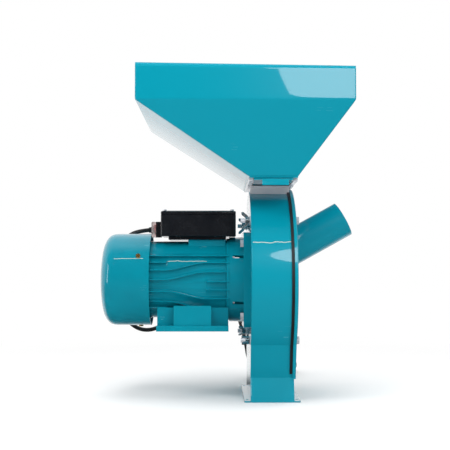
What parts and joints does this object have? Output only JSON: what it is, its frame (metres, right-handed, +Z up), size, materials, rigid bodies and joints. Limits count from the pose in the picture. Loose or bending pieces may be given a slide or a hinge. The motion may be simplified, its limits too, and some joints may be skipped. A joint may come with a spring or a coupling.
{
  "type": "hammer mill",
  "caption": "Electric hammer mill with an overhung motor, a keyhole drum housing, an offset feed hopper with a slide gate, and a slanted cob inlet tube.",
  "frame": {"origin": "centre of the base bolt pattern, on the underside of the base lips", "axes": "+X along the motor shaft from the motor to the front cover, +Y across, away from the viewer, +Z up"},
  "size_m": [0.4686, 0.559, 0.584],
  "materials": {
    "teal_paint": "gloss paint on folded sheet steel",
    "cast_paint": "gloss paint on cast aluminium and pressed steel",
    "zinc": "bright zinc plating",
    "bare_steel": "turned and ground steel",
    "laminations": "stacked electrical sheet, varnished",
    "enamelled_copper": "enamelled copper windings, bound and varnished",
    "black_rubber": "matt black rubber",
    "black_plastic": "moulded black plastic, half gloss",
    "capacitor_can": "drawn aluminium can",
    "red_plastic": "red moulded rocker",
    "clear_cover": "soft clear waterproof cover",
    "brass": "yellow passivated screw",
    "cord_sheath": "black rubber cord sheath"
  },
  "bodies": {
    "mill": {"base_lips": "teal_paint", "bearing_outer_races": "bare_steel", "cable_gland": "black_rubber", "cord_coil": "cord_sheath", "cover_seal": "black_rubber", "fan_cover": "cast_paint", "fan_cover_screws": "brass", "flange_bolts": "zinc", "front_apron": "teal_paint", "front_end_shield": "cast_paint", "gate_rails": "zinc", "hopper": "teal_paint", "hopper_bottom_plate": "teal_paint", "hopper_screws": "zinc", "housing_back_plate": "teal_paint", "housing_shell": "teal_paint", "lid_screws": "zinc", "mains_cord": "cord_sheath", "mains_plug": "cord_sheath", "motor_feet": "cast_paint", "motor_frame": "cast_paint", "rear_end_shield": "cast_paint", "run_capacitor": "capacitor_can", "shaft_seal": "black_rubber", "shield_bolts": "zinc", "sieve_ring": "bare_steel", "sieve_screen": "bare_steel", "stator_core": "laminations", "stator_windings": "enamelled_copper", "switch_body": "black_plastic", "switch_hood": "clear_cover", "terminal_block": "black_plastic", "terminal_box": "black_plastic", "terminal_box_base": "black_plastic", "terminal_box_lid": "black_plastic", "throat": "zinc", "wing_nut_washers": "zinc"},
    "rotor": {"rotor_shaft": "bare_steel", "rotor_core": "laminations", "cooling_fan": "black_plastic", "bearing_inner_races": "bare_steel", "rotor_hub": "bare_steel", "rotor_discs": "bare_steel", "hammer_pins": "bare_steel", "hammer_spacers": "bare_steel", "shaft_end_bolt": "zinc"},
    "cover": {"front_cover": "teal_paint", "cob_inlet_tube": "teal_paint", "cover_bolts": "zinc"},
    "gate": {"slide_gate": "teal_paint"},
    "rocker": {"switch_rocker": "red_plastic"},
    "wing_nut_1": {"wing_nut_1": "zinc"},
    "hammers_1": {"hammer_set_1": "bare_steel"},
    "wing_nut_2": {"wing_nut_2": "zinc"},
    "hammers_2": {"hammer_set_2": "bare_steel"},
    "wing_nut_3": {"wing_nut_3": "zinc"},
    "hammers_3": {"hammer_set_3": "bare_steel"},
    "wing_nut_4": {"wing_nut_4": "zinc"},
    "hammers_4": {"hammer_set_4": "bare_steel"}
  },
  "joints": [
    {"name": "rotor_spin", "type": "hinge", "parent": "mill", "child": "rotor", "pos_m": [-0.1, 0, 0.214], "axis": [1, 0, 0], "continuous": true},
    {"name": "gate_slide", "type": "slide", "parent": "mill", "child": "gate", "axis": [0, -1, 0], "range_m": [0, 0.1]},
    {"name": "cover_pull_off", "type": "slide", "parent": "mill", "child": "cover", "axis": [1, 0, 0], "range_m": [0, 0.12]},
    {"name": "switch_press", "type": "hinge", "parent": "mill", "child": "rocker", "pos_m": [-0.209, -0.016, 0.3065], "axis": [0, 1, 0], "range_deg": [0, 16]},
    {"name": "hammer_swing_1", "type": "hinge", "parent": "rotor", "child": "hammers_1", "pos_m": [0, 0.04243, 0.25643], "axis": [1, 0, 0], "range_deg": [-5, 225]},
    {"name": "hammer_swing_2", "type": "hinge", "parent": "rotor", "child": "hammers_2", "pos_m": [0, -0.04243, 0.25643], "axis": [1, 0, 0], "range_deg": [-225, 5]},
    {"name": "hammer_swing_3", "type": "hinge", "parent": "rotor", "child": "hammers_3", "pos_m": [0, -0.04243, 0.17157], "axis": [1, 0, 0], "range_deg": [-135, 45]},
    {"name": "hammer_swing_4", "type": "hinge", "parent": "rotor", "child": "hammers_4", "pos_m": [0, 0.04243, 0.17157], "axis": [1, 0, 0], "range_deg": [-45, 135]},
    {"name": "wing_nut_turn_1", "type": "hinge", "parent": "mill", "child": "wing_nut_1", "pos_m": [-0.045, -0.113, 0.109], "axis": [1, 0, 0], "continuous": true},
    {"name": "wing_nut_turn_2", "type": "hinge", "parent": "mill", "child": "wing_nut_2", "pos_m": [-0.045, -0.113, 0.319], "axis": [1, 0, 0], "continuous": true},
    {"name": "wing_nut_turn_3", "type": "hinge", "parent": "mill", "child": "wing_nut_3", "pos_m": [-0.045, 0.113, 0.109], "axis": [1, 0, 0], "continuous": true},
    {"name": "wing_nut_turn_4", "type": "hinge", "parent": "mill", "child": "wing_nut_4", "pos_m": [-0.045, 0.113, 0.319], "axis": [1, 0, 0], "continuous": true}
  ]
}
